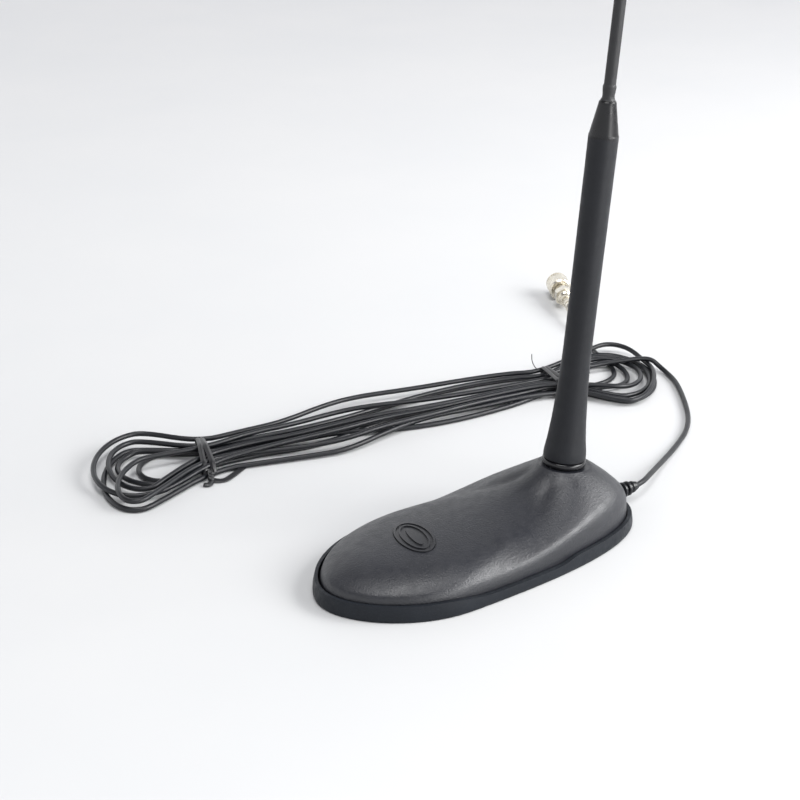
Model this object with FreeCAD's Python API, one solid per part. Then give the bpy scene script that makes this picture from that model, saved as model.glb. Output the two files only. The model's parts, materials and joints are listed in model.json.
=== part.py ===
"""Magnetic-mount antenna of a vehicle cellular signal booster, with its coax lead.

Millimetres, +Z up. The origin is the centre of the base's underside, +X runs from
the base's rounded nose to its cable end, and the hanked lead lies on the +Y side.
Each sub-part is one node, written to parts/NODE.step.
"""
import FreeCAD
import Part
import math
import os

V = FreeCAD.Vector

# ---- driving dimensions -------------------------------------------------------
BASE_LENGTH = 177.4
BASE_HALF_WIDTH = 42.3
NOSE_LENGTH = 52.8            # nose tip to the widest station
NOSE_POWER = 1.74             # superellipse powers of the two halves of the plan
TAIL_POWER = 2.76
WIDEST_X = NOSE_LENGTH - BASE_LENGTH / 2
PLAN_POLES = 44

FOOT_SKIN = 1.2               # rubber under the magnets
LIP_INSET = 1.7               # draft of the foot's outer wall
LIP_TOP = 9.0
POCKET_INSET = 3.0
SHELL_INSET = 3.35
SHELL_BOTTOM = 1.6
SHELL_WALL = 2.2
CREST_NOSE = 9.2              # crest line's height round the nose, its rise and its dip behind
CREST_RISE = 9.2
CREST_TAIL_DROP = 6.5
CREST_RADIUS = 3.0
FLARE_LENGTH = 9.0            # decay of the flare round the mast's seat

BADGE_X = -34.7
BADGE_Y = 1.9
BADGE_HALF_LENGTH = 14.6
BADGE_HALF_WIDTH = 8.4
BADGE_TURN = 10.0             # degrees, its far end towards the cable end
BADGE_PROUD = 0.45

SEAT_X = 52.5                 # centre of the crown's seat for the mast
SEAT_Z = 33.2
SEAT_RADIUS = 12.4
MAST_LEAN = 5.6               # degrees towards the cable end

TRAY_INSET = 7.4
MAGNET_HEIGHT = 4.0
PLATE_THICKNESS = 1.0
TRAY_TOP = FOOT_SKIN + MAGNET_HEIGHT
PLATE_TOP = TRAY_TOP + PLATE_THICKNESS
MAGNETS = ((-50.0, 14.0), (-8.0, 15.0), (38.0, 14.0))        # x, radius
SHELL_SCREWS = ((-62.0, 14.0), (-62.0, -14.0), (68.0, 20.0), (68.0, -20.0))

BOARD = (-2.0, 40.0, 14.0)    # x from, x to, half width
BOARD_BOTTOM = PLATE_TOP + 4.0
BOARD_TOP = BOARD_BOTTOM + 1.6
BOARD_SCREWS = ((2.0, 10.5), (2.0, -10.5), (36.0, 10.5), (36.0, -10.5))

STUD_RADIUS = 2.5             # M5
THREAD_CLEARANCE = 0.06
SEAL_GAP = 0.25
SEAL_HEIGHT = 3.0
FOOT_START = 3.5              # mast foot above the seat, along the mast
SHOULDER = 161.0
CONE_TOP = 177.0
WHIP_RADIUS = 2.75
WHIP_TOP = 305.0
MAST_TOP = 309.0

CABLE_RADIUS = 1.4            # RG-174 class coax
CABLE_EXIT_Z = 7.0
BOOT_END_X = 101.6

HANK_TOP = 9.0
CONNECTOR_AXIS_Z = 7.3
NUT_CENTRE = (249.9, 240.9)
CONNECTOR_HEADING = (0.478, 0.878)

OUT = "parts"


# ---- helpers ------------------------------------------------------------------
def save(name, shape):
    solids = shape.Solids
    if not solids or not shape.isValid():
        raise ValueError(name + " is not a valid solid")
    shape.exportStep(os.path.join(OUT, name + ".step"))
    print(name, len(solids), "solid(s),", round(shape.Volume / 1000, 3), "cm3")


def cylinder(radius, height, x=0.0, y=0.0, z=0.0):
    return Part.makeCylinder(radius, height, V(x, y, z))


def ring(outer, inner, height, x=0.0, y=0.0, z=0.0):
    return cylinder(outer, height, x, y, z).cut(cylinder(inner, height, x, y, z))


def box(low, high):
    size = [b - a for a, b in zip(low, high)]
    return Part.makeBox(*size, V(*low))


def join(shapes):
    first, *rest = shapes
    return first.fuse(rest).removeSplitter()


def prism(sides, across_flats, height, z=0.0):
    """Regular prism standing on height z about the Z axis."""
    radius = across_flats / 2 / math.cos(math.pi / sides)
    points = [
        V(radius * math.cos(2 * math.pi * i / sides), radius * math.sin(2 * math.pi * i / sides), z)
        for i in range(sides + 1)
    ]
    return Part.Face(Part.makePolygon(points)).extrude(V(0, 0, height))


def revolve(profile):
    """Solid of revolution about Z from (radius, z) corners, closed along the axis or itself."""
    points = [V(r, 0, z) for r, z in profile]
    return Part.Face(Part.makePolygon(points + points[:1])).revolve(V(0, 0, 0), V(0, 0, 1), 360)


def revolve_curve(smooth, rest):
    """Revolve a section whose first side is a smooth curve and whose other corners are straight."""
    curve = Part.BSplineCurve()
    curve.interpolate([V(r, 0, z) for r, z in smooth])
    corners = [V(smooth[-1][0], 0, smooth[-1][1])] + [V(r, 0, z) for r, z in rest]
    corners.append(V(smooth[0][0], 0, smooth[0][1]))
    edges = [curve.toShape()] + Part.makePolygon(corners).Edges
    return Part.Face(Part.Wire(edges)).revolve(V(0, 0, 0), V(0, 0, 1), 360)


def smoothstep(t):
    t = min(1.0, max(0.0, t))
    return t * t * (3 - 2 * t)


def mix(a, b, t):
    return a + (b - a) * t


def on_mast(shape):
    """Place a shape built about the Z axis on the leaning mast, z = 0 at the seat."""
    placed = shape.copy()
    placed.rotate(V(0, 0, 0), V(0, 1, 0), MAST_LEAN)
    placed.translate(V(SEAT_X, 0, SEAT_Z))
    return placed


def on_connector(shape):
    """Place a shape built about the Z axis on the connector, z = 0 at the nut's middle."""
    placed = shape.copy()
    placed.rotate(V(0, 0, 0), V(0, 1, 0), 90)
    heading = math.degrees(math.atan2(CONNECTOR_HEADING[1], CONNECTOR_HEADING[0]))
    placed.rotate(V(0, 0, 0), V(0, 0, 1), heading)
    placed.translate(V(NUT_CENTRE[0], NUT_CENTRE[1], CONNECTOR_AXIS_Z))
    return placed


# ---- plan of the base ---------------------------------------------------------
def plan_point(angle, inset):
    c, s = math.cos(angle), math.sin(angle)
    power = NOSE_POWER if c < 0 else TAIL_POWER
    reach = (NOSE_LENGTH if c < 0 else BASE_LENGTH - NOSE_LENGTH) - inset
    x = WIDEST_X + math.copysign(abs(c) ** (2 / power) * reach, c)
    return x, math.copysign(abs(s) ** (2 / power) * (BASE_HALF_WIDTH - inset), s)


def plan(inset, count=PLAN_POLES):
    """Points evenly spaced along the egg-shaped outline, moved in by inset."""
    fine = [plan_point(2 * math.pi * i / 4000, inset) for i in range(4001)]
    run = [0.0]
    for p, q in zip(fine, fine[1:]):
        run.append(run[-1] + math.dist(p, q))
    points, j = [], 0
    for k in range(count):
        target = run[-1] * k / count
        while run[j + 1] < target:
            j += 1
        t = (target - run[j]) / (run[j + 1] - run[j])
        points.append((mix(fine[j][0], fine[j + 1][0], t), mix(fine[j][1], fine[j + 1][1], t)))
    return points


def skin(rings):
    """Smooth closed solid through rings of poles; the first and last rings are flat."""
    count, rows = len(rings[0]), len(rings)
    degree = min(3, rows - 1)
    surface = Part.BSplineSurface()
    poles = [[V(*rings[j][i]) for j in range(rows)] for i in range(count)]
    surface.buildFromPolesMultsKnots(
        poles,
        [1] * (count + 1),
        [degree + 1] + [1] * (rows - degree - 1) + [degree + 1],
        [float(i) for i in range(count + 1)],
        [float(i) for i in range(rows - degree + 1)],
        True,
        False,
        3,
        degree,
    )
    side = surface.toShape()
    caps = [Part.Face(Part.Wire([edge])) for edge in side.Edges if edge.isClosed()]
    closed = Part.Compound([side] + caps)
    closed.sewShape()
    solid = Part.Solid(closed.Shells[0])
    solid.fix(1e-6, 1e-6, 1e-6)
    if solid.Volume < 0:
        solid.reverse()
    return solid


def slab(inset, low, high):
    points = plan(inset)
    return skin([[(x, y, low) for x, y in points], [(x, y, high) for x, y in points]])


# ---- housing ------------------------------------------------------------------
def crest_height(x, y):
    """Height of the shell's crest line, where the side wall turns into the top."""
    height = CREST_NOSE + CREST_RISE * smoothstep((x + 20.5) / 74.4)
    corner = 1 - smoothstep(abs(y) / 27)
    return height - CREST_TAIL_DROP * corner * smoothstep((x - 60) / 20)


def shell_body(inward, drop):
    """The shell's outer form, moved in by inward and down by drop.

    Each meridian starts at the plan outline, climbs the side wall, rounds over the
    crest and runs up to the seat: over a low dome at the nose, straight up the
    flanks, and over a full shoulder behind.
    """
    outline = plan(SHELL_INSET + inward)
    seat_radius = SEAT_RADIUS - inward
    lean = math.tan(math.radians(MAST_LEAN))
    bottom = SHELL_BOTTOM - (0.0 if inward == 0 else 1.0)
    draft = 0.5
    meridians = []
    for x, y in outline:
        crest = crest_height(x, y)
        nose = 1 - smoothstep((x + 33.5) / 81)
        tail = smoothstep((x - 50) / 25)
        dome = 8.0 * nose + 13.0 * tail
        dome_length = mix(10.2, 13.9, tail)
        flare = 8.8 * nose
        power = mix(0.9, 1.3, nose)
        reach = math.dist((x, y), (SEAT_X, 0)) - seat_radius
        ux, uy = (SEAT_X - x) / (reach + seat_radius), -y / (reach + seat_radius)
        full_dome = dome * (1 - math.exp(-reach / dome_length))
        climb = SEAT_Z - crest - full_dome - flare

        def top(s, crest=crest, dome=dome, dome_length=dome_length, flare=flare, power=power, reach=reach,
                climb=climb):
            fade = math.exp(-reach / FLARE_LENGTH)
            rise = (math.exp(-(reach - s) / FLARE_LENGTH) - fade) / (1 - fade)
            bulge = dome * (1 - math.exp(-s / dome_length))
            return crest + bulge + climb * (s / reach) ** power + flare * rise

        wall_top = crest - CREST_RADIUS
        line = [
            (x, y, bottom),
            (x + ux * draft / 2, y + uy * draft / 2, mix(bottom, wall_top, 0.6)),
            (x + ux * draft, y + uy * draft, wall_top - drop),
        ]
        for turn in (35, 62, 90):
            s = draft + CREST_RADIUS * (1 - math.cos(math.radians(turn)))
            z = wall_top + (top(s) - wall_top) * math.sin(math.radians(turn))
            line.append((x + ux * s, y + uy * s, z - drop))
        for part in (0.08, 0.2, 0.36, 0.52, 0.68, 0.82, 0.93, 1.0):
            s = mix(draft + CREST_RADIUS, reach, part)
            line.append([x + ux * s, y + uy * s, top(s) - drop])
        line[-1][2] = SEAT_Z - drop - lean * (line[-1][0] - SEAT_X)
        meridians.append(line)
    return skin([[m[j] for m in meridians] for j in range(len(meridians[0]))])


def badge_prism(grow, low=0.0):
    """Oval column over the badge's place; its long axis lies nearly across the base."""
    oval = Part.Ellipse(V(0, 0, 0), BADGE_HALF_LENGTH + grow, BADGE_HALF_WIDTH + grow)
    column = Part.Face(Part.Wire([oval.toShape()])).extrude(V(0, 0, 30))
    column.rotate(V(0, 0, 0), V(0, 0, 1), 90 - BADGE_TURN)
    column.translate(V(BADGE_X, BADGE_Y, low))
    return column


def make_badge():
    """Medallion of plain raised ovals that stands proud of the nose."""
    raised = shell_body(-BADGE_PROUD, -BADGE_PROUD)
    badge = badge_prism(0.0).common(raised.cut(shell_body(0.95, 0.95)))
    for outside, inside in ((-1.1, -2.6), (-3.5, -6.2)):
        channel = badge_prism(outside).cut(badge_prism(inside, -1.0))
        badge = badge.cut(channel.common(raised.cut(shell_body(0.1, 0.1))))
    return badge


def make_housing():
    outer = shell_body(0.0, 0.0)
    middle = shell_body(SHELL_WALL / 2, SHELL_WALL / 2)
    hollow = shell_body(SHELL_WALL, SHELL_WALL)
    crown = on_mast(cylinder(9.5, 6.0, z=-5.0))
    shell = outer.cut(hollow)
    bosses = [cylinder(3.4, 40, x, y, PLATE_TOP).common(middle) for x, y in SHELL_SCREWS]
    shell = join([shell] + bosses + [crown.common(middle)])
    for x, y in SHELL_SCREWS:
        shell = shell.cut(cylinder(1.35, 5.6, x, y, PLATE_TOP - 0.1))
    shell = shell.cut(on_mast(cylinder(4.3, 20, z=-12)))
    shell = shell.cut(on_mast(cylinder(8.2, 12, z=-17)))
    exit_hole = Part.makeCylinder(2.6, 12, V(80, 0, CABLE_EXIT_Z), V(1, 0, 0))
    shell = shell.cut(exit_hole)
    recess = badge_prism(0.25).common(outer.cut(shell_body(1.0, 1.0)))
    shell = shell.cut(recess)
    save("upper_shell", shell)
    save("badge_medallion", make_badge())


def lip_cutter():
    """Everything above the lip's top line: high at the nose, low amidships, stepped up behind."""
    levels = [(-110, 7.9), (-50, 7.8), (-18, 5.2), (18, 5.0), (35, 6.9), (110, 6.2)]
    edges = []
    for (x0, z0), (x1, z1) in zip(levels, levels[1:]):
        curve = Part.BezierCurve()
        third = (x1 - x0) * 0.45
        curve.setPoles([V(x0, -60, z0), V(x0 + third, -60, z0), V(x1 - third, -60, z1), V(x1, -60, z1)])
        edges.append(curve.toShape())
    start, end = V(-110, -60, levels[0][1]), V(110, -60, levels[-1][1])
    edges += Part.makePolygon([end, V(110, -60, 30), V(-110, -60, 30), start]).Edges
    return Part.Face(Part.Wire(edges)).extrude(V(0, 120, 0))


def make_foot():
    floor, bulge, rim = plan(0.0), plan(0.35), plan(LIP_INSET)
    outer = skin([
        [(x, y, 0.0) for x, y in plan(0.8)],
        [(x, y, 0.9) for x, y in floor],
        [(x, y, 4.0) for x, y in bulge],
        [(x, y, LIP_TOP) for x, y in rim],
    ])
    foot = outer.cut(slab(POCKET_INSET, FOOT_SKIN, LIP_TOP + 2))
    notch = Part.makeCylinder(2.7, 8, V(84, 0, CABLE_EXIT_Z), V(1, 0, 0))
    save("rubber_foot", foot.cut(lip_cutter()).cut(notch))


def make_magnet_pack():
    tray = slab(TRAY_INSET, FOOT_SKIN, TRAY_TOP)
    magnets = []
    for x, radius in MAGNETS:
        tray = tray.cut(cylinder(radius + 0.2, MAGNET_HEIGHT, x, 0, FOOT_SKIN))
        magnets.append(cylinder(radius, MAGNET_HEIGHT, x, 0, FOOT_SKIN))
    plate = slab(TRAY_INSET, TRAY_TOP, PLATE_TOP)
    for x, y in SHELL_SCREWS:
        tray = tray.cut(cylinder(3.2, MAGNET_HEIGHT, x, y, FOOT_SKIN))
        plate = plate.cut(cylinder(1.6, PLATE_THICKNESS, x, y, TRAY_TOP))
    notch = box((68.0, -4.0, FOOT_SKIN), (90.0, 4.0, PLATE_TOP))
    tray = tray.cut(notch)
    plate = plate.cut(notch)
    save("magnet_tray", tray)
    save("magnets", Part.Compound(magnets))
    save("back_plate", plate)


def screw(x, y, head_z, shaft_top, head_radius=2.7, shaft_radius=1.25, cross=True):
    """Screw driven upwards: the head's top is at head_z and the shaft ends at shaft_top."""
    head_height = 1.5
    head = cylinder(head_radius, head_height, x, y, head_z - head_height)
    shaft = cylinder(shaft_radius, shaft_top - head_z, x, y, head_z)
    body = join([head, shaft])
    if cross:
        for sx, sy in ((1.6, 0.35), (0.35, 1.6)):
            slot = box((x - sx, y - sy, head_z - head_height), (x + sx, y + sy, head_z - 0.6))
            body = body.cut(slot)
    return body


def make_screws():
    shell_screws = [screw(x, y, TRAY_TOP, PLATE_TOP + 5.0) for x, y in SHELL_SCREWS]
    save("shell_screws", Part.Compound(shell_screws))
    board_screws = []
    for x, y in BOARD_SCREWS:
        upside = screw(0, 0, 0, 3.6, head_radius=2.0, shaft_radius=0.95)
        upside.rotate(V(0, 0, 0), V(1, 0, 0), 180)
        upside.translate(V(x, y, BOARD_TOP))
        board_screws.append(upside)
    save("board_screws", Part.Compound(board_screws))


def make_board():
    x0, x1, half = BOARD
    board = box((x0, -half, BOARD_BOTTOM), (x1, half, BOARD_TOP))
    spacers = []
    for x, y in BOARD_SCREWS:
        board = board.cut(cylinder(1.1, 1.6, x, y, BOARD_BOTTOM))
        hexagon = prism(6, 4.4, BOARD_BOTTOM - PLATE_TOP, PLATE_TOP)
        hexagon.translate(V(x, y, 0))
        spacers.append(hexagon.cut(cylinder(1.0, 4.0, x, y, PLATE_TOP)))
    save("matching_board", board)
    save("board_spacers", Part.Compound(spacers))

    z = BOARD_TOP
    can = box((9, 1.5, z), (22, 11, z + 2.6))
    coil = Part.makeTorus(2.6, 0.9, V(28, 8, z + 0.9))
    chips = [box((x, y, z), (x + 2.0, y + 1.25, z + 0.9)) for x, y in ((9, -4), (13, -4), (17, -4), (21, -4))]
    save("board_parts", Part.Compound([can, coil] + chips))


# ---- mast stud and its feed ---------------------------------------------------
def make_stud():
    stud = revolve([(0, -12), (2.1, -12), (STUD_RADIUS, -11.4), (STUD_RADIUS, 0), (5.0, 0), (5.0, 1.5),
                    (STUD_RADIUS, 1.5), (STUD_RADIUS, 13), (2.0, 13.5), (0, 13.5)])
    save("mast_stud", on_mast(stud))
    bush = join([ring(4.2, STUD_RADIUS, 5.0, z=-5.0), ring(7.6, STUD_RADIUS, 1.2, z=-6.2)])
    save("stud_bush", on_mast(bush))
    nut = prism(6, 8.0, 4.0, z=-11.0).cut(cylinder(STUD_RADIUS, 4.0, z=-11.0))
    save("stud_nut", on_mast(nut))
    tab = box((-12.5, -1.5, -7.0), (-4.0, 1.5, -6.2))
    terminal = join([ring(5.4, STUD_RADIUS, 0.8, z=-7.0), tab.cut(cylinder(STUD_RADIUS, 2, z=-8))])
    save("feed_terminal", on_mast(terminal))
    tab_end = on_mast(Part.Vertex(-11.4, 0, -7.0)).Point
    route = [(30.0, 0, BOARD_TOP), (30.0, 0, 19.0), (tab_end.x, 0, tab_end.z - 2.5), (tab_end.x, 0, tab_end.z)]
    save("feed_wire", tube(route, 0.6, "feed wire"))


# ---- mast ---------------------------------------------------------------------
def make_seal():
    low, high = SEAL_GAP, SEAL_GAP + SEAL_HEIGHT
    middle = (low + high) / 2
    outer = [(9.7, low), (10.5, low + 0.5), (10.75, middle), (10.5, high - 0.5), (9.7, high)]
    save("seal_ring", on_mast(revolve_curve(outer, [(5.6, high), (5.6, low)])))


def make_mast():
    flare = [(10.35, 0.5), (10.28, 3.0), (9.5, 8.6), (8.95, 13.8), (8.45, 19), (8.1, 24), (7.3, 38),
             (6.9, 50), (6.8, 62)]
    flare = [(r, FOOT_START + z) for r, z in flare]
    bore = [(7.0, SHOULDER), (5.3, SHOULDER), (5.3, 21.0), (6.7, 21.0), (6.7, FOOT_START), (10.0, FOOT_START)]
    save("mast_sleeve", on_mast(revolve_curve(flare, bore)))

    insert = cylinder(6.7, 16.5, z=FOOT_START + 0.7)
    insert = insert.cut(cylinder(STUD_RADIUS + THREAD_CLEARANCE, 11.5, z=FOOT_START))
    for k in range(3):
        insert = insert.cut(ring(7.0, 6.3, 1.2, z=7.0 + 4.5 * k))
    save("mast_insert", on_mast(insert))

    former = join([cylinder(4.1, 118, z=26), cylinder(5.2, 4.0, z=22), cylinder(5.2, 4.0, z=144)])
    save("coil_former", on_mast(former))

    helix = Part.makeHelix(9.0, 99.0, 4.65)
    section = Part.Wire([Part.Circle(V(4.65, 0, 0), V(0, 1, 0), 0.45).toShape()])
    winding = Part.Wire(helix.Edges).makePipeShell([section], True, True)
    winding.translate(V(0, 0, 34))
    save("radiator_coil", on_mast(winding))

    cone = revolve([(0, 149.5), (5.2, 149.5), (5.2, SHOULDER), (7.0, SHOULDER), (7.0, SHOULDER + 0.6),
                    (6.7, SHOULDER + 1.6), (4.15, CONE_TOP - 0.9), (4.05, CONE_TOP), (3.6, CONE_TOP + 0.6),
                    (2.6, CONE_TOP + 0.6), (2.6, CONE_TOP - 5), (1.1, CONE_TOP - 5), (1.1, 155), (0, 155)])
    save("nose_cone", on_mast(cone))

    core = cylinder(1.1, 148, z=155)
    save("whip_core", on_mast(core))
    jacket = revolve_curve(
        [(3.5, CONE_TOP + 0.8), (3.0, CONE_TOP + 1.6), (2.8, CONE_TOP + 3.5), (WHIP_RADIUS, CONE_TOP + 8)],
        [(WHIP_RADIUS, WHIP_TOP), (1.1, WHIP_TOP), (1.1, CONE_TOP - 5), (2.6, CONE_TOP - 5),
         (2.6, CONE_TOP + 0.8)],
    )
    save("whip_jacket", on_mast(jacket))
    cap = revolve([(0, WHIP_TOP), (WHIP_RADIUS, WHIP_TOP), (WHIP_RADIUS, WHIP_TOP - 8), (3.3, WHIP_TOP - 8),
                   (3.4, WHIP_TOP - 6), (3.4, MAST_TOP - 2.2), (2.9, MAST_TOP - 0.9), (1.8, MAST_TOP - 0.2),
                   (0, MAST_TOP)])
    save("whip_tip", on_mast(cap))


# ---- cable --------------------------------------------------------------------
def tube(points, radius, label):
    """Round tube along straight runs joined by tangent arcs as large as the runs allow."""
    p = [V(*q) for q in points]
    edges, at, radii = [], p[0], []
    for a, b, c in zip(p, p[1:], p[2:]):
        back, ahead = (a - b), (c - b)
        shorter = min(back.Length, ahead.Length)
        turn = math.pi - back.getAngle(ahead)
        arc_radius = 0.45 * shorter / math.tan(turn / 2)
        radii.append(arc_radius)
        back.normalize()
        ahead.normalize()
        start, end = b + back * 0.45 * shorter, b + ahead * 0.45 * shorter
        bisector = back + ahead
        bisector.normalize()
        middle = b + bisector * (arc_radius / math.cos(turn / 2) - arc_radius)
        edges += [Part.LineSegment(at, start).toShape(), Part.Arc(start, middle, end).toShape()]
        at = end
    edges.append(Part.LineSegment(at, p[-1]).toShape())
    path = Part.Wire(edges)
    length = path.Length
    section = Part.Wire([Part.Circle(p[0], p[1] - p[0], radius).toShape()])
    solid = path.makePipeShell([section], True, True)
    expected = math.pi * radius * radius * length
    print(label, "length", round(length, 1), "radii", [round(r, 1) for r in radii],
          "volume ratio", round(solid.Volume / expected, 4))
    return solid


CLAMP_Z = 8.4
LEAD_ROUTE = [
    (BOOT_END_X, 0, CABLE_EXIT_Z), (107, 1.2, 6.9), (114.5, 5.4, 6.2), (125, 11.7, 4.8), (137, 18.7, 3.2),
    (150, 26.2, 1.9), (162, 33.2, 1.4), (173, 40, 1.4), (182, 47.4, 1.4), (190.5, 56.3, 1.4), (200, 68.8, 1.4),
    (209.5, 83, 1.4), (217, 95.5, 1.4), (221, 107.5, 1.4),
]
TAIL_ROUTE = [
    (204, 147, 1.4), (207.5, 157, 1.4), (213, 168, 1.5), (218.5, 180, 2.6), (223.5, 191, 5.0),
    (228.2, 200.5, 7.1), (231.8, 207.7, CONNECTOR_AXIS_Z),
]
INNER_ROUTE = [
    (BOOT_END_X - 0.5, 0, CABLE_EXIT_Z), (74, 0, CABLE_EXIT_Z), (66, 0, CLAMP_Z), (50, 0, CLAMP_Z),
    (41, -7, BOARD_TOP + 1.5), (34, -7, BOARD_TOP + 1.5),
]
HANK_OUTLINE = [
    (-121, 160), (-119, 138), (-104, 126.5), (-84, 135), (-66, 149), (-48, 148), (-20, 132), (15, 128),
    (50, 123), (85, 119), (120, 121), (146, 126), (158, 121), (163, 98), (172, 83), (189, 82), (208, 92),
    (221, 108), (224, 132), (214, 152), (196, 154), (176, 149), (164, 152), (146, 158), (110, 168),
    (76, 177), (40, 184), (10, 181), (-20, 172), (-45, 173), (-60, 184), (-78, 203), (-98, 203), (-114, 186),
]
# centre x and y, half span, and degrees that the far end is turned towards the cable end
TIES = {"tie_left": (-57.5, 160.5, 16.0, 20.0), "tie_right": (154.5, 129.0, 16.5, 18.0)}
TIE_WIDTH = 4.0


def across_hank(shape, x, y, turn):
    """Place a shape built about the origin on the hank, its Y side turned by turn degrees."""
    placed = shape.copy()
    placed.rotate(V(0, 0, 0), V(0, 0, 1), -turn)
    placed.translate(V(x, y, 0))
    return placed


def hank_waist(half):
    """The hank's section where a tie draws the turns together."""
    return box((-TIE_WIDTH / 2, -half, 1.0), (TIE_WIDTH / 2, half, HANK_TOP))


def tie_band(half):
    """Flat band round the hank with its twisted knot at the near side."""
    outer = box((-TIE_WIDTH / 2, -half - 1.0, 0), (TIE_WIDTH / 2, half + 1.0, HANK_TOP + 1.0))
    knot = cylinder(1.6, 7.0, 0, -half - 2.2)
    return join([outer.cut(hank_waist(half)), knot])


def make_cable():
    save("cable_lead", tube(LEAD_ROUTE, CABLE_RADIUS, "cable lead"))
    save("cable_tail", tube(TAIL_ROUTE, CABLE_RADIUS, "cable tail"))
    save("inner_cable", tube(INNER_ROUTE, CABLE_RADIUS, "inner cable"))

    outline = Part.BSplineCurve()
    outline.interpolate(Points=[V(x, y, 0) for x, y in HANK_OUTLINE], PeriodicFlag=True)
    hank = Part.Face(Part.Wire([outline.toShape()])).extrude(V(0, 0, HANK_TOP))
    for name, (x, y, half, turn) in TIES.items():
        slice_across = box((-TIE_WIDTH / 2, -40, 0), (TIE_WIDTH / 2, 40, HANK_TOP))
        hank = hank.cut(across_hank(slice_across.cut(hank_waist(half)), x, y, turn))
        save(name, across_hank(tie_band(half), x, y, turn))
    save("cable_hank", hank)


def make_strain_relief():
    flange, wall, neck = 78.0, 79.5, 2.4
    boot = [(flange, 2.9), (wall, 2.9), (wall, neck), (91.2, neck)]
    for start, radius in ((91.4, 3.9), (94.4, 3.7), (97.4, 3.0)):
        boot += [(start, radius - 0.4), (start + 0.4, radius), (start + 1.3, radius), (start + 1.7, radius - 0.4),
                 (start + 1.9, neck), (start + 2.8, neck)]
    boot += [(BOOT_END_X, 1.9), (BOOT_END_X, CABLE_RADIUS), (flange, CABLE_RADIUS)]
    solid = revolve([(radius, x) for x, radius in boot])
    solid.rotate(V(0, 0, 0), V(0, 1, 0), 90)
    solid.translate(V(0, 0, CABLE_EXIT_Z))
    save("strain_relief", solid)

    clamp = box((56.0, -5.5, PLATE_TOP), (61.5, 5.5, CLAMP_Z + 2.2))
    clamp = clamp.cut(Part.makeCylinder(CABLE_RADIUS, 20, V(50, 0, CLAMP_Z), V(1, 0, 0)))
    save("cable_clamp", clamp)


# ---- connector ----------------------------------------------------------------
def make_connector():
    rear = -26.0
    ferrule = ring(3.1, CABLE_RADIUS, 11.0, z=rear - 12.0)
    for k in range(2):
        ferrule = ferrule.cut(ring(3.3, 2.85, 1.6, z=rear - 9.5 + 4.2 * k))
    save("crimp_ferrule", on_connector(ferrule))
    body = revolve([(CABLE_RADIUS, rear - 1.0), (3.9, rear - 1.0), (3.9, rear + 3), (5.0, rear + 4),
                    (5.0, rear + 6.0), (6.1, rear + 6.0), (6.1, rear + 12.0), (4.4, rear + 12.0),
                    (4.4, -6.0), (4.95, -6.0), (4.95, -2.0), (4.05, -2.0), (4.05, 5.0), (3.5, 5.0),
                    (3.5, -4.0), (CABLE_RADIUS, -4.0)])
    flats = prism(6, 11.0, 6.0, z=rear + 6.0)
    keep = join([flats, cylinder(5.0, 70, z=rear - 20)])
    save("connector_body", on_connector(body.common(keep)))
    save("dielectric", on_connector(ring(3.5, 0.7, 4.5, z=-4.0)))
    pin = revolve([(0, -8), (0.7, -8), (0.7, 2.6), (0.25, 3.8), (0, 3.8)])
    save("centre_pin", on_connector(pin))
    save("connector_gasket", on_connector(ring(4.9, 4.05, 1.2, z=-2.0)))

    nut = revolve([(5.02, -7.0), (6.2, -7.0), (7.2, -6.0), (7.2, 6.4), (6.6, 7.0), (5.6, 7.0), (5.3, 6.6),
                   (5.3, -1.0), (5.02, -1.0)])
    flutes = []
    for k in range(30):
        angle = 2 * math.pi * k / 30
        flutes.append(cylinder(0.42, 10.5, 7.4 * math.cos(angle), 7.4 * math.sin(angle), -5.0))
    save("coupling_nut", on_connector(nut.cut(flutes)))


def main():
    os.makedirs(OUT, exist_ok=True)
    make_foot()
    make_magnet_pack()
    make_housing()
    make_screws()
    make_board()
    make_stud()
    make_seal()
    make_mast()
    make_cable()
    make_strain_relief()
    make_connector()


main()
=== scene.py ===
"""Looks of the magnetic-mount antenna of a vehicle signal booster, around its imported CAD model.

Objects, lights and the camera are in metres in the CAD frame: +Z up, +X from the base's
rounded nose to its cable end, the origin under the middle of the base. The lead's route
and the wire ties are written in millimetres, as the route is in the CAD source, and MM
turns them into metres.
"""
import json
import math
import random

import bmesh
import bpy
import numpy as np
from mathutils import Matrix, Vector


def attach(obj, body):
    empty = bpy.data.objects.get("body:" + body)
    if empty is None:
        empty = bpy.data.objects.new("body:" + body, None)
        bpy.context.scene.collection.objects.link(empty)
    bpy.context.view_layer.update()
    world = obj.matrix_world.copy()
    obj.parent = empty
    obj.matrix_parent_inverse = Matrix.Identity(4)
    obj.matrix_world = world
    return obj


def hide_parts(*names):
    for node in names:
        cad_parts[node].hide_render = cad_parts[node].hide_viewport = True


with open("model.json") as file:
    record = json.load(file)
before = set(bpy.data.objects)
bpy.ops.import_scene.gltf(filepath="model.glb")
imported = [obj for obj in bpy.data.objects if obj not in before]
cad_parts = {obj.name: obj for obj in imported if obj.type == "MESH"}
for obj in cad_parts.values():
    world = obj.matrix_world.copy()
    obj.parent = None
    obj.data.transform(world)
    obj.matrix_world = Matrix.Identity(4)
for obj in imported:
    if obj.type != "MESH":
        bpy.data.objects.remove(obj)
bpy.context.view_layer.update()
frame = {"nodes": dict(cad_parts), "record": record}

MM = 0.001


def add_object(name, data):
    """A new object in the scene's own collection."""
    thing = bpy.data.objects.new(name, data)
    bpy.context.scene.collection.objects.link(thing)
    return thing


# ---- camera -------------------------------------------------------------------
LENS = 81.0                   # millimetres
SENSOR_WIDTH = 36.0           # millimetres
CLIP_START, CLIP_END = 0.05, 20.0
CAMERA_PLACE = (-0.46052, -0.59558, 0.42014)
CAMERA_TILT = 65.69           # degrees up from straight down
CAMERA_HEADING = -34.96       # degrees about the vertical


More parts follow.
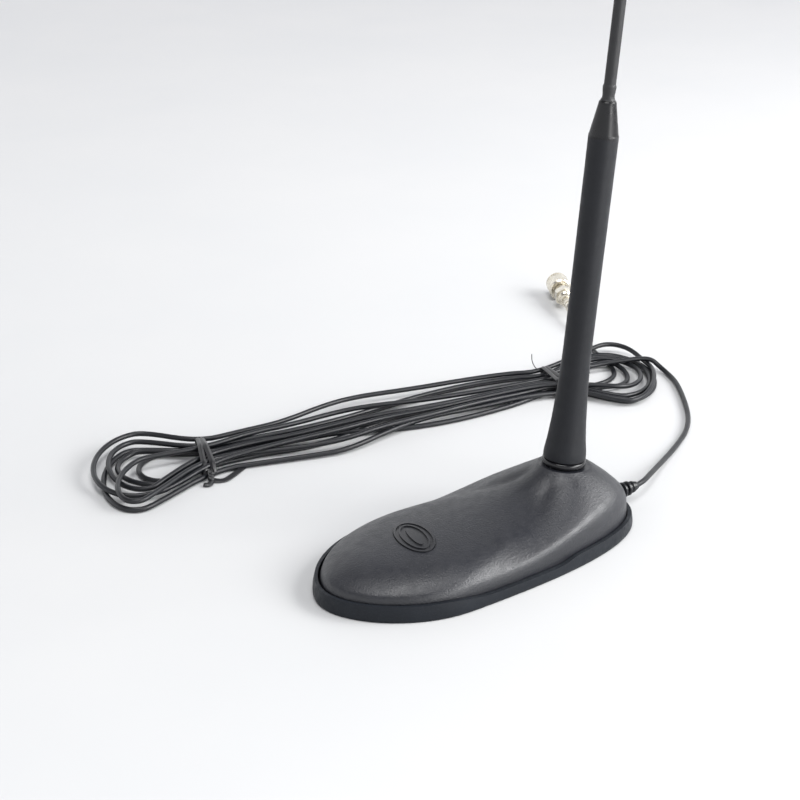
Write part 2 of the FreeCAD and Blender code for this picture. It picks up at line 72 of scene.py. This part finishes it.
def make_camera():
    data = bpy.data.cameras.new("camera")
    data.lens = LENS
    data.sensor_width = SENSOR_WIDTH
    data.clip_start, data.clip_end = CLIP_START, CLIP_END
    camera = add_object("camera", data)
    camera.location = CAMERA_PLACE
    camera.rotation_euler = (math.radians(CAMERA_TILT), 0.0, math.radians(CAMERA_HEADING))
    bpy.context.scene.camera = camera


# ---- the coax lead ------------------------------------------------------------
CABLE_RADIUS = 1.4
LEAD_ROUTE = [
    (101.6, 0, 7.0), (107, 1.2, 6.9), (114.5, 5.4, 6.2), (125, 11.7, 4.8), (137, 18.7, 3.2),
    (150, 26.2, 1.9), (162, 33.2, 1.4), (173, 40, 1.4), (182, 47.4, 1.4), (190.5, 56.3, 1.4),
    (200, 68.8, 1.4), (209.5, 83, 1.4), (217, 95.5, 1.4), (221, 107.5, 1.4),
]
TAIL_ROUTE = [
    (204, 147, 1.4), (207.5, 157, 1.4), (213, 168, 1.5), (218.5, 180, 2.6), (223.5, 191, 5.0),
    (228.2, 200.5, 7.1), (231.8, 207.7, 7.3),
]
INTO_HANK = [
    (221, 114, 2.4), (219, 119, 3.8), (214, 122.5, 4.8), (207.5, 126, 5.0), (200.5, 129.5, 4.6),
    (193, 132, 4.2), (183, 134, 4.0), (171, 135, 4.2),
]
OUT_OF_HANK = [(166, 118.5, 1.4), (180, 116, 1.4), (192, 119.5, 1.4), (199.5, 128, 1.4), (203, 138, 1.4)]

# stations along the straight part of the hank: x, near edge y, far edge y
STATIONS = [
    (-57, 146, 175), (-30, 139, 176.5), (-5, 131, 174.5), (20, 125, 177.5), (45, 125, 176),
    (75, 122.5, 167.5), (105, 120, 160), (133, 117, 152.5), (154, 115.5, 144),
]
# the bights are leaning ovals: centre x and y, reach along x and y, lean, height at the far and near side
LEFT_BIGHTS = [
    (-98, 150, 15.5, 20.5, 11, 7.0, 5.5), (-90, 170, 27.0, 32.0, 10, 6.5, 3.5),
    (-89.5, 169, 18.4, 27.5, 6.5, 4.0, 3.5), (-97.5, 160, 18.8, 31.5, 11.5, 3.0, 1.4),
    (-86.5, 165.7, 16.5, 20.3, 0, 1.4, 3.4), (-78, 164, 15.5, 15.5, 2, 1.4, 1.4),
]
RIGHT_BIGHTS = [
    (193.5, 119.5, 23.9, 35.0, 16.5, 5.5, 1.4), (184.5, 120.8, 23.4, 22.3, 2.5, 3.4, 3.4),
    (183, 118.5, 30.7, 27.5, 4, 2.8, 1.8), (184.5, 123, 16.8, 16.5, 2.5, 1.4, 1.4),
    (188.5, 118.7, 27.2, 31.8, 8.5, 1.4, 1.4),
]
BIGHT_POINTS = 10
BIGHT_START, BIGHT_SWEEP = 72, 216      # degrees round the oval

# each turn's far and near pass: rank 0 is the hank's near edge and 1 its far edge
FAR_RANKS = [0.62, 0.98, 0.80, 0.90, 0.52, 0.70]
NEAR_RANKS = [0.30, 0.16, 0.44, 0.02, 0.38, 0.24]
PASS_HEIGHTS = [4.4, 4.6, 4.2, 1.6, 1.4, 1.4]
PASS_SLANT = 0.25             # shift along the hank per millimetre off its middle
SEED = 5
RANK_SWAY = 0.2               # most that a pass wanders, in ranks
STATION_SWAY = 3              # most that a point shifts along the hank

# how the turns come to rest, in rounds
SETTLE_ROUNDS = 260
SEARCH_EVERY = 12             # rounds between searches for neighbours
SEARCH_MARGIN = 3             # how far off a segment may still be and count as a neighbour
SPACING = 2 * CABLE_RADIUS * 1.03       # least distance between two centrelines
LEAST_STEPS = 3               # segments nearer than this along the lead don't push each other
HOME_PULL = (0.012, 0.012, 0.02)        # share of the way home, in x, y and z, gone in a round
HEIGHT_EVENING = 0.05         # share of a bend in height that goes in a round
PUSH = 0.45                   # share of an overlap that each side gives way in a round


def wander(rng):
    """Random sway of a pass: two waves, in ranks, then a shift along the hank for each station."""
    waves = [rng.uniform(-RANK_SWAY, RANK_SWAY), rng.uniform(-RANK_SWAY, RANK_SWAY)]
    return waves + [rng.uniform(-STATION_SWAY, STATION_SWAY) for _ in STATIONS]


def straight_pass(rank, height, sway):
    """One pass of the lead along the hank, from left to right."""
    points = []
    for k, (x, near, far) in enumerate(STATIONS):
        along = k / (len(STATIONS) - 1)
        place = rank + sway[0] * math.sin(math.pi * along) + sway[1] * math.sin(2 * math.pi * along)
        place = min(1.0, max(0.0, place))
        shift = (far - near) * (place - 0.5) * PASS_SLANT
        points.append((x + shift + sway[2 + k], near + place * (far - near), height))
    return points


def bight(oval, side):
    """The turned end of the hank: from the far side to the near side on the left, and back on the right."""
    x, y, reach_x, reach_y, lean, far_z, near_z = oval
    points = []
    for k in range(BIGHT_POINTS):
        angle = math.radians(BIGHT_START + BIGHT_SWEEP * k / (BIGHT_POINTS - 1))
        c, s = math.cos(angle), math.sin(angle)
        height = near_z + (far_z - near_z) * (s + 1) / 2
        points.append((x - side * c * reach_x + lean * s, y + reach_y * s, height))
    return points if side < 0 else points[::-1]


def hank_route():
    rng = random.Random(SEED)
    points = []
    turns = len(LEFT_BIGHTS)
    for turn in range(turns):
        points += straight_pass(FAR_RANKS[turn], PASS_HEIGHTS[turn], wander(rng))[::-1]
        points += bight(LEFT_BIGHTS[turn], -1)
        points += straight_pass(NEAR_RANKS[turn], PASS_HEIGHTS[turn], wander(rng))
        if turn < turns - 1:
            points += bight(RIGHT_BIGHTS[turn], 1)
    return points


def closest_shares(p, q, r, s):
    """How far along segments p-q and r-s their closest points lie, each from 0 to 1."""
    d1, d2, w = q - p, s - r, p - r
    a, e = (d1 * d1).sum(1), (d2 * d2).sum(1)
    b, c, f = (d1 * d2).sum(1), (d1 * w).sum(1), (d2 * w).sum(1)
    skew = np.maximum(a * e - b * b, 1e-9)
    u = np.clip((b * f - c * e) / skew, 0, 1)
    v = np.clip((b * u + f) / np.maximum(e, 1e-9), 0, 1)
    return np.clip((b * v - c) / np.maximum(a, 1e-9), 0, 1), v


def settle(points, loose):
    """Lets the turns of the hank come to rest on each other and on the floor, a diameter apart."""
    x = np.array(points, float)
    home = x.copy()
    free = np.array(loose, float)[:, None]
    rest = np.linalg.norm(np.diff(x, axis=0), axis=1)
    first, second = np.triu_indices(len(x) - 1, LEAST_STEPS)
    pull = np.array(HOME_PULL)
    for turn in range(SETTLE_ROUNDS):
        x += (home - x) * pull * free
        bend = np.zeros_like(x)
        bend[1:-1] = (x[:-2] + x[2:]) / 2 - x[1:-1]
        x[:, 2] += HEIGHT_EVENING * bend[:, 2] * free[:, 0]
        if turn % SEARCH_EVERY == 0:
            middle = (x[:-1] + x[1:]) / 2
            gap = np.linalg.norm(middle[first] - middle[second], axis=1)
            near = gap < (rest[first] + rest[second]) / 2 + SPACING + SEARCH_MARGIN
            a_all, b_all = first[near], second[near]
        u, v = closest_shares(x[a_all], x[a_all + 1], x[b_all], x[b_all + 1])
        off = x[a_all] + (x[a_all + 1] - x[a_all]) * u[:, None]
        off = off - x[b_all] - (x[b_all + 1] - x[b_all]) * v[:, None]
        gap = np.linalg.norm(off, axis=1)
        hit = gap < SPACING
        a, b, u, v = a_all[hit], b_all[hit], u[hit], v[hit]
        move = off[hit] / np.maximum(gap[hit], 1e-6)[:, None] * (PUSH * (SPACING - gap[hit]))[:, None]
        push, count = np.zeros_like(x), np.ones(len(x))
        for index, share, sign in ((a, 1 - u, 1), (a + 1, u, 1), (b, 1 - v, -1), (b + 1, v, -1)):
            np.add.at(push, index, move * (sign * share)[:, None])
            np.add.at(count, index, share)
        x += push / np.sqrt(count)[:, None] * free
        x[:, 2] = np.where(free[:, 0] > 0, np.maximum(x[:, 2], CABLE_RADIUS), x[:, 2])
    return x


def make_cord():
    """The whole lead as one curve, and its settled points in millimetres."""
    middle = INTO_HANK + hank_route() + OUT_OF_HANK
    points = LEAD_ROUTE + middle + TAIL_ROUTE
    loose = [0] * len(LEAD_ROUTE) + [1] * len(middle) + [0] * len(TAIL_ROUTE)
    points = settle(points, loose)

    curve = bpy.data.curves.new("coax_lead", "CURVE")
    curve.dimensions = "3D"
    curve.bevel_depth = CABLE_RADIUS * MM
    curve.bevel_resolution = 5
    curve.resolution_u = 5
    curve.use_fill_caps = True
    spline = curve.splines.new("NURBS")
    spline.points.add(len(points) - 1)
    for point, place in zip(spline.points, points):
        point.co = (*(c * MM for c in place), 1.0)
    spline.order_u = 3
    spline.use_endpoint_u = True
    return add_object("coax_lead", curve), points


# ---- materials ----------------------------------------------------------------
def link(tree, source, target):
    tree.links.new(source, target)


def noise_node(tree, scale, detail=3.0, roughness=0.55, stretch=(1, 1, 1)):
    """Noise on the object's own coordinates, so that it stays put on a moving body."""
    place = tree.nodes.new("ShaderNodeTexCoord")
    squeeze = tree.nodes.new("ShaderNodeMapping")
    squeeze.inputs["Scale"].default_value = stretch
    noise = tree.nodes.new("ShaderNodeTexNoise")
    noise.inputs["Scale"].default_value = scale
    noise.inputs["Detail"].default_value = detail
    noise.inputs["Roughness"].default_value = roughness
    link(tree, place.outputs["Object"], squeeze.inputs["Vector"])
    link(tree, squeeze.outputs["Vector"], noise.inputs["Vector"])
    return noise.outputs["Fac"]


def spread(tree, value, low, high, source=(0.35, 0.65)):
    """Map a value onto a range; source is the part of it that counts, by default that of plain noise."""
    node = tree.nodes.new("ShaderNodeMapRange")
    node.inputs["From Min"].default_value, node.inputs["From Max"].default_value = source
    node.inputs["To Min"].default_value, node.inputs["To Max"].default_value = low, high
    link(tree, value, node.inputs["Value"])
    return node.outputs["Result"]


def tones(tree, value, stops):
    """Colour from a value through a ramp of (position, colour) stops."""
    ramp = tree.nodes.new("ShaderNodeValToRGB")
    band = ramp.color_ramp
    for index, (place, colour) in enumerate(stops):
        stop = band.elements[index] if index < 2 else band.elements.new(place)
        stop.position = place
        stop.color = (*colour, 1)
    link(tree, value, ramp.inputs["Fac"])
    return ramp.outputs["Color"]


def mix_colour(tree, first, second, mode="MIX"):
    """Two colours mixed: the node's factor, which is 1 until it is linked, and its result."""
    node = tree.nodes.new("ShaderNodeMix")
    node.data_type = "RGBA"
    node.blend_type = mode
    node.inputs["Factor"].default_value = 1.0
    link(tree, first, node.inputs["A"])
    link(tree, second, node.inputs["B"])
    return node.inputs["Factor"], node.outputs["Result"]


def bump(tree, height, distance, base=None):
    node = tree.nodes.new("ShaderNodeBump")
    node.inputs["Strength"].default_value = 1.0
    node.inputs["Distance"].default_value = distance
    link(tree, height, node.inputs["Height"])
    if base:
        link(tree, base, node.inputs["Normal"])
    return node.outputs["Normal"]


def blank(name, **values):
    """A new material, its node tree and its shader, with plain values set on the shader's own sockets."""
    material = bpy.data.materials.new(name)
    material.use_nodes = True
    shader = material.node_tree.nodes["Principled BSDF"]
    for key, value in values.items():
        shader.inputs[key.replace("_", " ")].default_value = value
    return material, material.node_tree, shader


def tinted(colour, factor):
    return tuple(min(1.0, c * factor) for c in colour)


CLOUD_STOPS = (0.3, 0.7)                # noise values of a plastic's darkest and palest tone
CLOUD_TINTS = (0.86, 1.16)
DUST_SCALE = 2600.0
DUST_SOURCE = (0.62, 0.74)              # only the peaks of the noise are specks
DUST_TONES = ((0.16, 0.16, 0.17), (0.22, 0.22, 0.22))
GLOSS_FINER = 5                         # gloss varies in patches this much finer than the tone's
GRAIN_FINER, GRAIN_FLATTER = 3.1, 0.35  # a second grain on top of the first


def polymer(name, colour, roughness, grain, depth, dust=0.0, patch=45.0, swing=0.06, **values):
    """Moulded plastic or rubber: cloudy tone, uneven gloss, a moulded grain and a little dust.

    grain and patch are noise scales per metre, and depth is the grain's height in metres.
    """
    material, tree, shader = blank(name, **values)
    cloud = noise_node(tree, patch, detail=4.0)
    tone = tones(tree, cloud, [(stop, tinted(colour, tint)) for stop, tint in zip(CLOUD_STOPS, CLOUD_TINTS)])
    if dust:
        fine_noise = noise_node(tree, DUST_SCALE, detail=2.0, roughness=0.7)
        specks = spread(tree, fine_noise, 0.0, dust, DUST_SOURCE)
        pale = tones(tree, cloud, list(zip(CLOUD_STOPS, DUST_TONES)))
        factor, tone = mix_colour(tree, tone, pale)
        link(tree, specks, factor)
    link(tree, tone, shader.inputs["Base Color"])
    patches = noise_node(tree, patch * GLOSS_FINER, detail=5.0)
    link(tree, spread(tree, patches, roughness - swing, roughness + swing), shader.inputs["Roughness"])
    coarse = bump(tree, noise_node(tree, grain, detail=2.0, roughness=0.6), depth)
    pebbles = noise_node(tree, grain * GRAIN_FINER, detail=1.0, roughness=0.5)
    link(tree, bump(tree, pebbles, depth * GRAIN_FLATTER, base=coarse), shader.inputs["Normal"])
    return material


TARNISH_SCALE = 160.0
TARNISH_STOPS = (0.38, 0.62)            # noise values of dull and of clean metal
LINE_SCALE = 700.0
LINE_GLOSS = (0.7, 1.35)                # roughness along the drawn lines, as shares of the metal's own


def metal(name, colour, roughness, stretch=(1, 1, 1), tarnish=(1.0, 1.0, 1.0), depth=0.00002):
    """Turned or plated metal: drawn lines, uneven gloss and faint tarnish."""
    material, tree, shader = blank(name, Metallic=1.0)
    cloud = noise_node(tree, TARNISH_SCALE, detail=5.0)
    dull = tuple(c * t for c, t in zip(colour, tarnish))
    link(tree, tones(tree, cloud, list(zip(TARNISH_STOPS, (dull, colour)))), shader.inputs["Base Color"])
    lines = noise_node(tree, LINE_SCALE, roughness=0.6, stretch=stretch)
    gloss = spread(tree, lines, roughness * LINE_GLOSS[0], roughness * LINE_GLOSS[1])
    link(tree, gloss, shader.inputs["Roughness"])
    link(tree, bump(tree, lines, depth), shader.inputs["Normal"])
    return material


def laminate(name):
    """Green solder mask over faint copper tracks."""
    material, tree, shader = blank(name, Roughness=0.32, Coat_Weight=0.4, Coat_Roughness=0.15)
    place = tree.nodes.new("ShaderNodeTexCoord")
    tracks = tree.nodes.new("ShaderNodeTexBrick")
    tracks.inputs["Scale"].default_value = 160.0
    tracks.inputs["Color1"].default_value = (0.012, 0.075, 0.03, 1)
    tracks.inputs["Color2"].default_value = (0.016, 0.09, 0.036, 1)
    tracks.inputs["Mortar"].default_value = (0.05, 0.17, 0.06, 1)
    tracks.inputs["Mortar Size"].default_value = 0.05
    link(tree, place.outputs["Object"], tracks.inputs["Vector"])
    link(tree, tracks.outputs["Color"], shader.inputs["Base Color"])
    link(tree, bump(tree, tracks.outputs["Fac"], 0.00004), shader.inputs["Normal"])
    return material


# by slot of the record; after its name a polymer has colour, roughness, grain, depth and dust
MATERIALS = {
    "housing": polymer("housing_abs", (0.0098, 0.0108, 0.0150), 0.39, 1050.0, 0.00017, 0.05,
                       Specular_IOR_Level=0.62),
    "badge": polymer("badge_abs", (0.0115, 0.012, 0.0145), 0.34, 1500.0, 0.00005, 0.06, Specular_IOR_Level=0.6),
    "foot_rubber": polymer("foot_rubber", (0.0088, 0.0110, 0.0150), 0.46, 900.0, 0.00009, 0.14, patch=70.0,
                           swing=0.1, Specular_IOR_Level=0.22),
    "seal_rubber": polymer("seal_rubber", (0.005, 0.005, 0.0065), 0.17, 500.0, 0.00002, patch=120.0,
                           Specular_IOR_Level=0.42),
    "mast_plastic": polymer("mast_abs", (0.0042, 0.0050, 0.0075), 0.50, 1900.0, 0.00006, 0.03,
                            Specular_IOR_Level=0.34),
    "cone_plastic": polymer("cone_abs", (0.0055, 0.0055, 0.0066), 0.30, 1600.0, 0.00002,
                            Specular_IOR_Level=0.34),
    "whip_rubber": polymer("whip_rubber", (0.0095, 0.0098, 0.0112), 0.52, 1300.0, 0.00005, 0.10),
    "cable_jacket": polymer("jacket_pvc", (0.0048, 0.0056, 0.0080), 0.38, 900.0, 0.00002, patch=30.0,
                            Specular_IOR_Level=0.46),
    "tie_plastic": polymer("tie_pvc", (0.008, 0.008, 0.0095), 0.34, 900.0, 0.00004, patch=90.0),
    "tray_plastic": polymer("tray_nylon", (0.045, 0.046, 0.05), 0.5, 1200.0, 0.00006),
    "board_part": polymer("board_part", (0.06, 0.06, 0.064), 0.4, 1500.0, 0.00002),
    "nylon": polymer("nylon", (0.62, 0.6, 0.53), 0.42, 900.0, 0.00003, patch=90.0, Subsurface_Weight=0.15),
    "ptfe": polymer("ptfe", (0.86, 0.86, 0.84), 0.35, 900.0, 0.00002, patch=90.0, Subsurface_Weight=0.2),
    "silicone": polymer("silicone", (0.42, 0.075, 0.045), 0.4, 800.0, 0.00003, patch=90.0),
    "magnet_nickel": metal("magnet_nickel", (0.66, 0.65, 0.62), 0.2),
    "zinc_steel": metal("zinc_steel", (0.60, 0.61, 0.63), 0.34, tarnish=(0.8, 0.84, 0.9)),
    "spring_steel": metal("spring_steel", (0.42, 0.42, 0.43), 0.3, stretch=(1, 1, 0.05)),
    "brass": metal("brass", (0.74, 0.56, 0.25), 0.26, tarnish=(0.82, 0.78, 0.7)),
    "nickel_brass": metal("nickel_brass", (0.70, 0.665, 0.59), 0.26, tarnish=(0.9, 0.88, 0.83), depth=0.000004),
    "copper_wire": metal("copper_wire", (0.80, 0.36, 0.20), 0.28, tarnish=(0.8, 0.7, 0.66)),
    "board_laminate": laminate("board_laminate"),
}


def dress_nodes():
    """Give every CAD node the material of its slot in the record."""
    for row in frame["record"]["subparts"]:
        node = frame["nodes"][row["node"]]
        material = MATERIALS[row["material_slot"]]
        if not node.material_slots:
            node.data.materials.append(material)
        for slot in node.material_slots:
            slot.material = material


# ---- wire ties ----------------------------------------------------------------
# x, y, and the turn of the tie's plane in degrees
TIE_PLACES = {"left": (-57.5, 160.5, 20.0), "right": (154.5, 129.0, 18.0)}
# where each tie's two ends lie after the knot
TIE_ENDS = {
    "left": [
        [(-61, 133.5, 0.8), (-53, 137.5, 0.8), (-44, 142.5, 0.8)],
        [(-69.5, 134.0, 0.9), (-71.5, 136.2, 1.0)],
    ],
    "right": [
        [(150.5, 110, 1.0), (156, 108.5, 0.8)],
        [(146.5, 108.5, 0.9), (143.5, 110.5, 0.9)],
    ],
}
# the ribbon's section: a flat coating with the wire's swelling along its middle
RIBBON = [
    (-1.5, 0.0), (-1.42, 0.25), (-0.8, 0.3), (-0.52, 0.6), (0.0, 0.76), (0.52, 0.6), (0.8, 0.3),
    (1.42, 0.25), (1.5, 0.0), (1.42, -0.25), (0.8, -0.3), (0.0, -0.34), (-0.8, -0.3), (-1.42, -0.25),
]
# wire that stands bare at one end of the right tie, behind the turns
WIRE_RADIUS = 0.26
WIRE = [(WIRE_RADIUS * math.cos(k * math.pi / 4), WIRE_RADIUS * math.sin(k * math.pi / 4)) for k in range(8)]
BARE_END = [
    (158.2, 141.0, 3.6), (157.0, 145.2, 4.2), (155.6, 148.8, 6.0), (154.9, 150.8, 9.6), (155.1, 151.2, 13.6),
]
BARE_POINTS = 24
BARE_ROUNDS = 5               # of smoothing

HANK_REACH = 24               # the tie holds what crosses its plane this near to its middle
BAND_GAP = 0.42               # from the lead's jacket to the middle of the ribbon
BAND_LOWEST = 0.35
CIRCLE_POINTS = 24
OUTLINE_POINTS = 120
OUTLINE_ROUNDS = 6
WRAPS = ((-1.55, 0.7), (1.6, -0.6))     # each wrap's shift along the hank, and how much it slants
SLANT_WIDTH = 11.0
KNOT_OUT, KNOT_HEIGHT = 0.9, 4.6        # where the twist starts, out from the band and up
TWIST_POINTS = 25
TWIST_TURNS = 1.6
TWIST_RADIUS = 0.95
TWIST_REACH, TWIST_DROP = 4.2, 3.4
TWIST_LEAN, END_LEAN = 0.35, 0.2        # how much the ribbon's width leans up out of the level
END_POINTS = 16
END_ROUNDS, LEAN_ROUNDS = 6, 4          # smoothing of an end's path, and of the way its width turns
END_LOWEST = 0.75
FLOOR_GAP = 0.05                        # least height of the finished tie


def sweep(name, path, sides, profile, closed=False):
    """Mesh of a flat section carried along a path; sides gives the section's first axis at each point."""
    path, sides = np.array(path, float), np.array(sides, float)
    count, width = len(path), len(profile)
    ahead = np.roll(path, -1, 0) - np.roll(path, 1, 0)
    if not closed:
        ahead[0], ahead[-1] = path[1] - path[0], path[-1] - path[-2]
    ahead /= np.linalg.norm(ahead, axis=1)[:, None]
    sides = sides - (sides * ahead).sum(1)[:, None] * ahead
    sides /= np.linalg.norm(sides, axis=1)[:, None]
    outward = np.cross(sides, ahead)
    mesh = bmesh.new()
    rows = [
        [mesh.verts.new((p + a * u + o * v) * MM) for u, v in profile] for p, a, o in zip(path, sides, outward)
    ]
    for k in range(count if closed else count - 1):
        here, there = rows[k], rows[(k + 1) % count]
        for j in range(width):
            mesh.faces.new((here[j], here[(j + 1) % width], there[(j + 1) % width], there[j]))
    if not closed:
        mesh.faces.new(rows[0][::-1])
        mesh.faces.new(rows[-1])
    bmesh.ops.recalc_face_normals(mesh, faces=mesh.faces)
    for face in mesh.faces:
        face.smooth = True
    data = bpy.data.meshes.new(name)
    mesh.to_mesh(data)
    mesh.free()
    return add_object(name, data)


def join_pieces(name, pieces):
    """One object from several, in the order given."""
    mesh = bmesh.new()
    for piece in pieces:
        mesh.from_mesh(piece.data)
        bpy.data.objects.remove(piece)
    data = bpy.data.meshes.new(name)
    mesh.to_mesh(data)
    mesh.free()
    return add_object(name, data)


def waist(points, centre, across, along):
    """Where the lead's centreline crosses the tie's plane: offsets along the plane and heights."""
    rel = points - centre
    s = rel @ along
    found = []
    for k in range(len(s) - 1):
        if s[k] * s[k + 1] < 0:
            t = s[k] / (s[k] - s[k + 1])
            p = rel[k] + (rel[k + 1] - rel[k]) * t
            if abs(p @ across) < HANK_REACH:
                found.append((p @ across, p[2]))
    return found


def turns_left(a, b, c):
    """Whether the way from a over b to c turns left."""
    return (b[0] - a[0]) * (c[1] - a[1]) - (b[1] - a[1]) * (c[0] - a[0]) > 0


def hull(points):
    """Convex outline of flat points, anticlockwise."""
    points = sorted(set(points))
    outline = []
    for row in (points, points[::-1]):
        side = []
        for p in row:
            while len(side) > 1 and not turns_left(side[-2], side[-1], p):
                side.pop()
            side.append(p)
        outline += side[:-1]
    return outline


def even(points, count, closed=True):
    """The same line with evenly spaced points."""
    points = np.array(points, float)
    if closed:
        points = np.vstack([points, points[:1]])
    run = np.concatenate([[0], np.cumsum(np.linalg.norm(np.diff(points, axis=0), axis=1))])
    places = np.linspace(0, run[-1], count, endpoint=not closed)
    return np.stack([np.interp(places, run, points[:, k]) for k in range(points.shape[1])], 1)


def smooth_ring(points, rounds):
    """Rounds a closed line."""
    for _ in range(rounds):
        points = points * 0.5 + (np.roll(points, 1, 0) + np.roll(points, -1, 0)) * 0.25
    return points


def smooth_line(points, rounds):
    """Rounds the inner points of an open line; its two ends stay."""
    points = np.array(points, float)
    for _ in range(rounds):
        points[1:-1] = points[1:-1] * 0.5 + (points[:-2] + points[2:]) * 0.25
    return points


def band_outline(crossings):
    """The band's line round the turns that it holds: offsets along the tie's plane and heights."""
    reach = CABLE_RADIUS + BAND_GAP
    ring = []
    for t, z in crossings:
        for k in range(CIRCLE_POINTS):
            a = 2 * math.pi * k / CIRCLE_POINTS
            ring.append((t + reach * math.cos(a), max(BAND_LOWEST, z + reach * math.sin(a))))
    return smooth_ring(even(hull(ring), OUTLINE_POINTS), OUTLINE_ROUNDS)


def tie_end(number, foot, across, along, tail):
    """One end of the ribbon: its strand of the twist, down to the floor, and then its tail."""
    path, sides = [], []
    for k in range(TWIST_POINTS):
        t = k / (TWIST_POINTS - 1)
        angle = math.pi * number + 2 * math.pi * TWIST_TURNS * t
        out = across * (TWIST_REACH * math.sin(math.pi * t / 2))
        offset = TWIST_RADIUS * (along * math.cos(angle) + across * math.sin(angle))
        path.append(foot - out + offset - np.array([0, 0, TWIST_DROP * t]))
        sides.append(along * math.sin(angle) - across * math.cos(angle) + np.array([0, 0, TWIST_LEAN]))
    laid = even([path[-1], *tail], END_POINTS, closed=False)[1:]
    path += list(laid)
    sides += [np.array([0, 0, END_LEAN]) + across] * len(laid)
    path = smooth_line(path, END_ROUNDS)
    path[:, 2] = np.maximum(path[:, 2], END_LOWEST)
    return sweep(f"end_{number}", path, smooth_line(sides, LEAN_ROUNDS), RIBBON)


def make_tie(label, points):
    """A coated wire tie: two wraps round the turns, a twisted knot, and its two ends."""
    x, y, turn = TIE_PLACES[label]
    centre = np.array([x, y, 0.0])
    across = np.array([math.sin(math.radians(turn)), math.cos(math.radians(turn)), 0.0])
    along = np.array([across[1], -across[0], 0.0])
    outline = band_outline(waist(points, centre, across, along))
    pieces = []
    for wrap, (shift, slant) in enumerate(WRAPS):
        loop = []
        for t, z in outline:
            drift = along * (shift + slant * math.sin(t / SLANT_WIDTH))
            loop.append(centre + across * t + np.array([0, 0, z]) + drift)
        pieces.append(sweep(f"wrap_{wrap}", loop, [-along] * len(loop), RIBBON, closed=True))
    foot = centre + across * (outline[:, 0].min() - KNOT_OUT) + np.array([0, 0, KNOT_HEIGHT])
    for number, tail in enumerate(TIE_ENDS[label]):
        pieces.append(tie_end(number, foot, across, along, tail))
    if label == "right":
        bare = smooth_line(even(BARE_END, BARE_POINTS, closed=False), BARE_ROUNDS)
        bare = even(bare, BARE_POINTS, closed=False)
        pieces.append(sweep("bare_end", bare, [(1.0, 0.0, 0.0)] * BARE_POINTS, WIRE))
    tie = join_pieces(f"wire_tie_{label}", pieces)
    for vertex in tie.data.vertices:              # the band lies flat where it passes under the turns
        vertex.co.z = max(vertex.co.z, FLOOR_GAP * MM)
    tie.data.materials.append(MATERIALS["tie_plastic"])
    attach(tie, "base")
    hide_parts(f"tie_{label}")
    return tie


# ---- floor and light ----------------------------------------------------------
FLOOR_SIZE = 60
FLOOR_DROP = 0.0001
FLOOR_SHADE_RANGE = (0.1, 1.5)                # distances over which the painted shade fades: the paper is darker near the object, where the lamps light it most, and paler far off
# painted shade: darker paper near the object, where the lamps shine brightest, and paler far off, to even out
# the lit floor
FLOOR_SHADE_TONES = [(0.0, (0.575, 0.578, 0.58)), (1.0, (0.97, 0.97, 0.97))]
FLOOR_CLOUDS = [(0.35, (0.975, 0.98, 0.985)), (0.65, (1.0, 1.0, 1.0))]
FLOOR_CLOUD_SCALE = 6.0

# the room's tone by height, from the horizon to overhead
ROOM_TONES = [
    (0.0, (0.85, 0.86, 0.88)), (0.3, (0.98, 0.99, 1.0)), (0.44, (0.88, 0.89, 0.91)),
    (0.62, (0.20, 0.20, 0.22)), (0.98, (0.16, 0.16, 0.17)),
]
ROOM_STRENGTH = 1.35

# place, width and power in watts
SOFTBOXES = {
    "softbox_top": ((-0.10, -0.12, 1.40), 0.75, 11.5),
    "softbox_right": ((0.92, -0.48, 0.68), 0.7, 9.0),
    "softbox_side": ((0.30, -1.05, 0.30), 0.45, 4.5),
    "softbox_low": ((0.74, -0.70, 0.62), 0.55, 8.5),
}
LIT_PLACE = (0.03, 0.02, 0.0)           # all of them point here


def make_floor():
    """Plain pale paper with painted shade, darker near the object where the lamps light it most and paler away
    from it, with a faint cloud in its tone.
    """
    bpy.ops.mesh.primitive_plane_add(size=FLOOR_SIZE, location=(0, 0, -FLOOR_DROP))
    floor = bpy.context.object
    floor.name = "floor"
    material, tree, shader = blank("floor_paper_painted_shade", Roughness=0.55, Specular_IOR_Level=0.25)
    place = tree.nodes.new("ShaderNodeTexCoord")
    away = tree.nodes.new("ShaderNodeVectorMath")
    away.operation = "LENGTH"
    link(tree, place.outputs["Object"], away.inputs[0])
    # painted shade: the paper's tone darkens towards the object, where the lamps' light pools
    shaded_paper = tones(tree, spread(tree, away.outputs["Value"], 0.0, 1.0, FLOOR_SHADE_RANGE), FLOOR_SHADE_TONES)
    cloud = tones(tree, noise_node(tree, FLOOR_CLOUD_SCALE, detail=4.0), FLOOR_CLOUDS)
    _, tone = mix_colour(tree, shaded_paper, cloud, "MULTIPLY")
    link(tree, tone, shader.inputs["Base Color"])
    floor.data.materials.append(material)


def make_world():
    """A studio room: pale at the horizon and above it, and dim overhead."""
    world = bpy.data.worlds.new("studio")
    world.use_nodes = True
    tree = world.node_tree
    place = tree.nodes.new("ShaderNodeTexCoord")
    split = tree.nodes.new("ShaderNodeSeparateXYZ")
    link(tree, place.outputs["Generated"], split.inputs["Vector"])
    background = tree.nodes["Background"]
    link(tree, tones(tree, split.outputs["Z"], ROOM_TONES), background.inputs["Color"])
    background.inputs["Strength"].default_value = ROOM_STRENGTH
    bpy.context.scene.world = world


def make_light(name, place, width, power):
    data = bpy.data.lights.new(name, "AREA")
    data.shape = "SQUARE"
    data.size = width
    data.energy = power
    light = add_object(name, data)
    light.location = place
    light.rotation_euler = (Vector(LIT_PLACE) - Vector(place)).to_track_quat("-Z", "Y").to_euler()


# ---- build --------------------------------------------------------------------
make_camera()
lead, lead_points = make_cord()
lead.data.materials.append(MATERIALS["cable_jacket"])
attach(lead, "base")
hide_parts("cable_lead", "cable_hank", "cable_tail")
dress_nodes()
ties = [make_tie(label, lead_points) for label in TIE_PLACES]
bpy.context.scene.view_settings.view_transform = "Standard"
make_floor()
make_world()
for label, (place, width, power) in SOFTBOXES.items():
    make_light(label, place, width, power)
